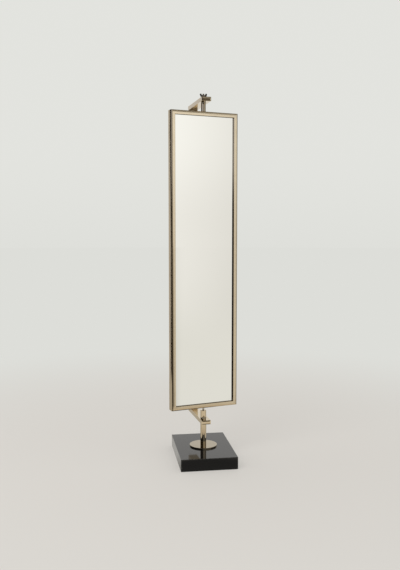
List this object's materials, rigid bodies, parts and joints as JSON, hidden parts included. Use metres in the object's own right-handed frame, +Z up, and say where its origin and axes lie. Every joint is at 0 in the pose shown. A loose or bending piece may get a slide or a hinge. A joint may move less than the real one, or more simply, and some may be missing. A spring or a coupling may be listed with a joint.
{
  "type": "floor mirror",
  "caption": "Tall narrow framed mirror turning in a rear C-shaped bracket that swivels on a short round post, on a flat rectangular block base.",
  "frame": {"origin": "on the floor, on the post's axis, at the middle of the block's underside", "axes": "+Z up; -Y is the block's front, a short side; +X is its right side. The bracket and the mirror stand turned a little to the left of the block at rest"},
  "size_m": [0.359, 0.4391, 1.8554],
  "materials": {
    "polished_metal": "polished champagne brass",
    "black_lacquer": "high-gloss black lacquer on board",
    "mirror_glass": "silvered glass",
    "turned_steel": "turned, bright",
    "zinc_steel": "zinc plated",
    "bronze": "turned bearing bronze",
    "cast_iron": "as cast, painted",
    "pine": "planed softwood",
    "fibreboard": "smooth wood fibreboard",
    "black_felt": "pressed felt",
    "black_vinyl": "soft vinyl",
    "nylon": "natural nylon"
  },
  "bodies": {
    "base": {"base_shell": "black_lacquer", "base_battens": "pine", "ballast_slab": "cast_iron", "ballast_screws": "zinc_steel", "bottom_panel": "fibreboard", "bottom_panel_screws": "zinc_steel", "felt_pad": "black_felt", "disc_flange": "polished_metal", "post_tube": "polished_metal", "post_lower_plug": "turned_steel", "post_upper_plug": "turned_steel", "tie_rod": "zinc_steel", "tie_rod_washer": "zinc_steel", "tie_rod_nut": "zinc_steel", "swivel_washers": "nylon", "pivot_collar": "polished_metal", "pivot_pin": "turned_steel"},
    "bracket": {"lower_arm": "polished_metal", "upper_arm": "polished_metal", "rear_upright": "polished_metal", "arm_end_plugs": "polished_metal", "bracket_corner_keys": "turned_steel", "lower_arm_bush": "bronze", "upper_arm_bush": "bronze"},
    "mirror": {"frame_top_rail": "polished_metal", "frame_bottom_rail": "polished_metal", "frame_left_stile": "polished_metal", "frame_right_stile": "polished_metal", "frame_corner_keys": "turned_steel", "mirror_glass_front": "mirror_glass", "glass_core_board": "fibreboard", "mirror_glass_back": "mirror_glass", "glass_seals": "black_vinyl", "top_pivot_block": "turned_steel", "bottom_pivot_block": "bronze", "pivot_block_screws": "zinc_steel", "top_stud": "turned_steel", "top_spacer": "polished_metal", "spacer_washer": "nylon"},
    "nut_washer": {"clamp_washer": "turned_steel"},
    "wing_nut": {"wing_nut": "turned_steel"}
  },
  "joints": [
    {"name": "bracket_swivel", "type": "hinge", "parent": "base", "child": "bracket", "pos_m": [0, 0, 0.199], "axis": [0, 0, 1], "continuous": true},
    {"name": "mirror_turn", "type": "hinge", "parent": "bracket", "child": "mirror", "pos_m": [0, 0, 1], "axis": [0, 0, 1], "continuous": true},
    {"name": "wing_nut_lift", "type": "slide", "parent": "mirror", "child": "nut_washer", "axis": [0, 0, 1], "range_m": [0, 0.003]},
    {"name": "wing_nut_turn", "type": "hinge", "parent": "nut_washer", "child": "wing_nut", "pos_m": [0, 0, 1.834], "axis": [0, 0, 1], "range_deg": [0, 720]}
  ],
  "couplings": [
    {"joint": "wing_nut_turn", "follows": "wing_nut_lift", "rad_per_m": 4188.7}
  ]
}
